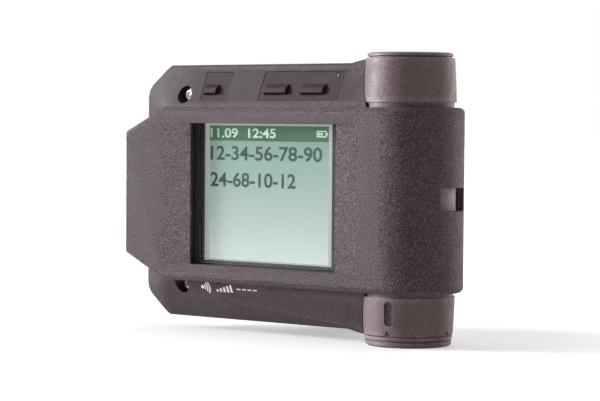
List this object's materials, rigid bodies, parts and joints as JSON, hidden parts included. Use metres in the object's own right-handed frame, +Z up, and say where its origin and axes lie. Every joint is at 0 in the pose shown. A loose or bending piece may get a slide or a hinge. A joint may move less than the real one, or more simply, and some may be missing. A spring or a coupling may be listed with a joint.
{
  "type": "pager in belt holster",
  "caption": "Rugged alphanumeric pager: flat casing with a display and sprung keys beside an upright battery tube, in a slide-on textured holster with a swivel belt clip.",
  "frame": {"origin": "centre of the bottom of the whole part's box, level with the battery cap's underside", "axes": "+X across the front from the free end to the battery tube, +Y from the display to the belt clip, +Z up along the battery tube"},
  "size_m": [0.085, 0.0332, 0.061],
  "materials": {
    "casing": "fine satin moulded texture",
    "tube": "fine satin moulded texture",
    "holster": "coarse spark-eroded texture",
    "clip": "satin",
    "key_rubber": "matte silicone",
    "black_rubber": "matte",
    "lens_seal": "matte foam tape",
    "lens": "clear polycarbonate",
    "panel": "reflective liquid crystal",
    "white_plastic": "satin",
    "light_guide": "clear acrylic",
    "circuit_board": "solder resist",
    "ribbon": "polyimide film",
    "steel": "plain",
    "spring_steel": "drawn wire",
    "tin": "tinned sheet",
    "tungsten": "sintered",
    "gold_contact": "gold plated",
    "copper": "bare copper strip",
    "cell_sleeve": "printed film",
    "black_plastic": "satin"
  },
  "bodies": {
    "pager": {"front_shell": "casing", "rear_shell": "casing", "casing_gasket": "black_rubber", "casing_screw_upper": "steel", "casing_screw_lower": "steel", "charging_contact_1": "gold_contact", "charging_contact_2": "gold_contact", "charging_contact_3": "gold_contact", "display_lens": "lens", "lens_seal": "lens_seal", "display_panel": "panel", "display_frame": "white_plastic", "backlight_guide": "light_guide", "display_ribbon": "ribbon", "keypad_mat_left": "key_rubber", "keypad_mat_right": "key_rubber", "status_light_pipe": "light_guide", "key_board": "circuit_board", "key_switch_left": "tin", "key_switch_middle": "tin", "key_switch_right": "tin", "main_board": "circuit_board", "shield_can": "tin", "loop_antenna": "copper", "loudspeaker": "black_plastic", "loudspeaker_seal": "black_rubber", "vibration_motor": "tin", "battery_tube": "tube", "top_cap": "tube", "aa_cell": "cell_sleeve", "positive_contact": "gold_contact"},
    "left_key": {"key_left": "key_rubber"},
    "middle_key": {"key_middle": "key_rubber"},
    "right_key": {"key_right": "key_rubber"},
    "cap": {"battery_cap": "tube", "cap_seal_ring": "black_rubber", "cap_contact_plate": "gold_contact", "battery_spring": "spring_steel"},
    "weight": {"eccentric_weight": "tungsten"},
    "holster": {"holster_shell": "holster", "swivel_stud": "steel", "swivel_washer": "spring_steel"},
    "clip": {"clip_base": "clip", "clip_pin": "steel", "clip_spring": "spring_steel"},
    "lever": {"clip_lever": "clip"}
  },
  "joints": [
    {"name": "left_key_press", "type": "slide", "parent": "pager", "child": "left_key", "axis": [0, 0.9239, -0.3827], "range_m": [0, 0.0005], "stiffness_N_per_m": 800},
    {"name": "middle_key_press", "type": "slide", "parent": "pager", "child": "middle_key", "axis": [0, 0.9239, -0.3827], "range_m": [0, 0.0005], "stiffness_N_per_m": 800},
    {"name": "right_key_press", "type": "slide", "parent": "pager", "child": "right_key", "axis": [0, 0.9239, -0.3827], "range_m": [0, 0.0005], "stiffness_N_per_m": 800},
    {"name": "battery_cap_turn", "type": "hinge", "parent": "pager", "child": "cap", "pos_m": [0.0311, -0.00515, 0], "axis": [0, 0, 1], "range_deg": [0, 90]},
    {"name": "vibration_spin", "type": "hinge", "parent": "pager", "child": "weight", "pos_m": [-0.0199, -0.00195, 0.0185], "axis": [1, 0, 0], "continuous": true},
    {"name": "holster_slide", "type": "slide", "parent": "pager", "child": "holster", "axis": [1, 0, 0], "range_m": [0, 0.09]},
    {"name": "clip_swivel", "type": "hinge", "parent": "holster", "child": "clip", "pos_m": [-0.0009, -0.00515, 0.0305], "axis": [0, 1, 0], "continuous": true},
    {"name": "clip_lever_pivot", "type": "hinge", "parent": "clip", "child": "lever", "pos_m": [-0.0009, 0.01206, 0.0455], "axis": [1, 0, 0], "range_deg": [0, 20], "stiffness_Nm_per_rad": 0.25, "springref_deg": -17.19}
  ]
}
